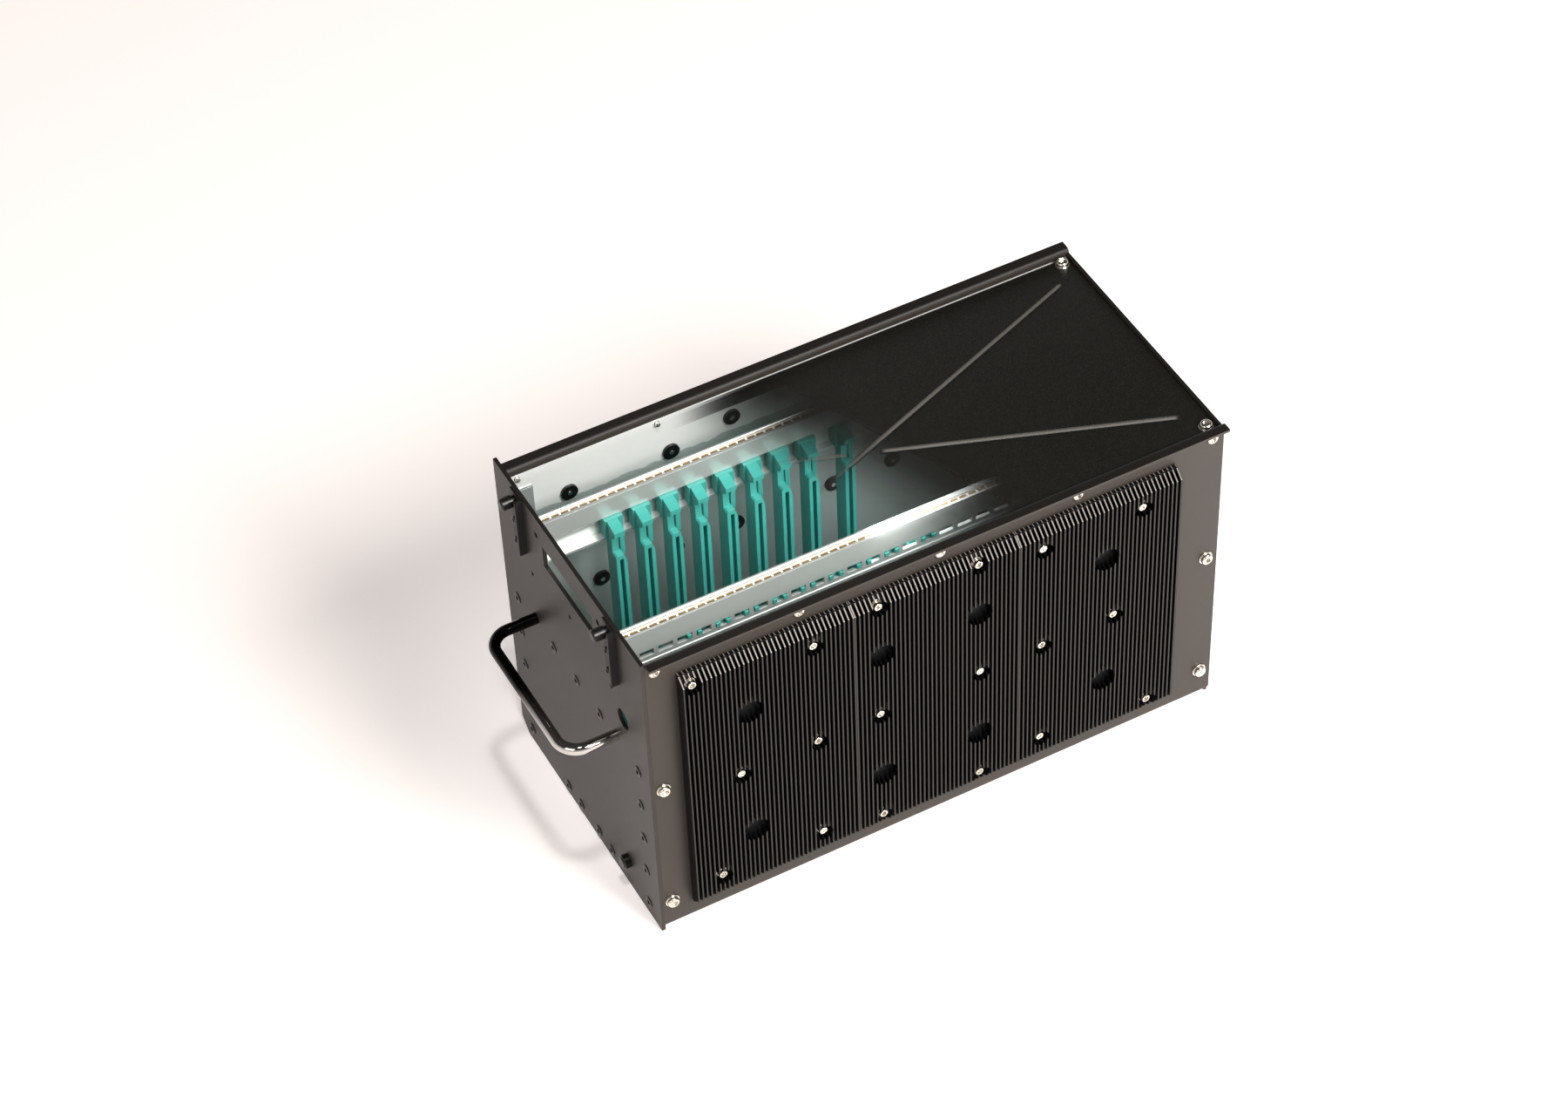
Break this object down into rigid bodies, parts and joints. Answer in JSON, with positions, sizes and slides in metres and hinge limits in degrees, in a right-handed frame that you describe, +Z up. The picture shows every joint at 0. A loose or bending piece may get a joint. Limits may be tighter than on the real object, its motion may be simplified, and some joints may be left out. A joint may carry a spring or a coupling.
{
  "type": "card cage enclosure",
  "caption": "Black sheet-metal card cage case with finned heat sinks on its long walls, a bar handle on one end and an inner subrack of rails and green card guides under a beaded cover.",
  "frame": {"origin": "middle of the bottom cover's lower face, between the outer faces of the two end panels and midway between the side walls", "axes": "+X along the case from the handle end to the rear panel, +Y across to the left wall, +Z up"},
  "size_m": [0.3502, 0.164, 0.194],
  "materials": {
    "painted_wall": "fine textured black powder coat, bare zinc inside",
    "painted_panel": "fine textured black powder coat",
    "painted_cover": "fine textured black powder coat",
    "black_anodised": "black anodised extrusion with sawn ends",
    "bright_hardware": "bright stainless fasteners",
    "black_hardware": "blackened steel fasteners",
    "black_chrome": "black chromed bar",
    "black_bracket": "black bracket",
    "rail_aluminium": "clear passivated extrusion",
    "yellow_zinc": "yellow passivated zinc strip",
    "green_plastic": "moulded green plastic",
    "zinc_steel": "bright zinc plated sheet"
  },
  "bodies": {
    "root": {"front_panel": "painted_panel", "panel_frame": "zinc_steel", "rear_panel": "painted_wall", "right_wall": "painted_wall", "left_wall": "painted_wall", "top_cover": "painted_cover", "bottom_cover": "painted_panel", "right_heat_sink_1": "black_anodised", "right_heat_sink_2": "black_anodised", "right_heat_sink_3": "black_anodised", "left_heat_sink_1": "black_anodised", "left_heat_sink_2": "black_anodised", "left_heat_sink_3": "black_anodised", "heat_sink_screws": "bright_hardware", "heat_sink_washers": "bright_hardware", "heat_sink_nuts": "black_hardware", "cover_screws": "bright_hardware", "cover_washers": "bright_hardware", "edge_screws": "bright_hardware", "wall_screws": "bright_hardware", "wall_washers": "bright_hardware", "bottom_screws": "black_hardware", "handle": "black_chrome", "handle_screws": "bright_hardware", "panel_screws": "black_hardware", "panel_stud": "black_hardware", "right_lock_bracket": "black_bracket", "left_lock_bracket": "black_bracket", "lock_knobs": "black_hardware", "lock_screws": "black_hardware", "upper_right_rail": "rail_aluminium", "upper_left_rail": "rail_aluminium", "lower_right_rail": "rail_aluminium", "lower_left_rail": "rail_aluminium", "upper_right_strip": "yellow_zinc", "upper_left_strip": "yellow_zinc", "lower_right_strip": "yellow_zinc", "lower_left_strip": "yellow_zinc", "front_rail_screws": "black_hardware", "rear_rail_screws": "bright_hardware", "right_guide_1": "green_plastic", "right_guide_2": "green_plastic", "right_guide_3": "green_plastic", "right_guide_4": "green_plastic", "right_guide_5": "green_plastic", "right_guide_6": "green_plastic", "right_guide_7": "green_plastic", "right_guide_8": "green_plastic", "right_guide_9": "green_plastic", "left_guide_1": "green_plastic", "left_guide_2": "green_plastic", "left_guide_3": "green_plastic", "left_guide_4": "green_plastic", "left_guide_5": "green_plastic", "left_guide_6": "green_plastic", "left_guide_7": "green_plastic", "left_guide_8": "green_plastic", "left_guide_9": "green_plastic"}
  },
  "joints": []
}
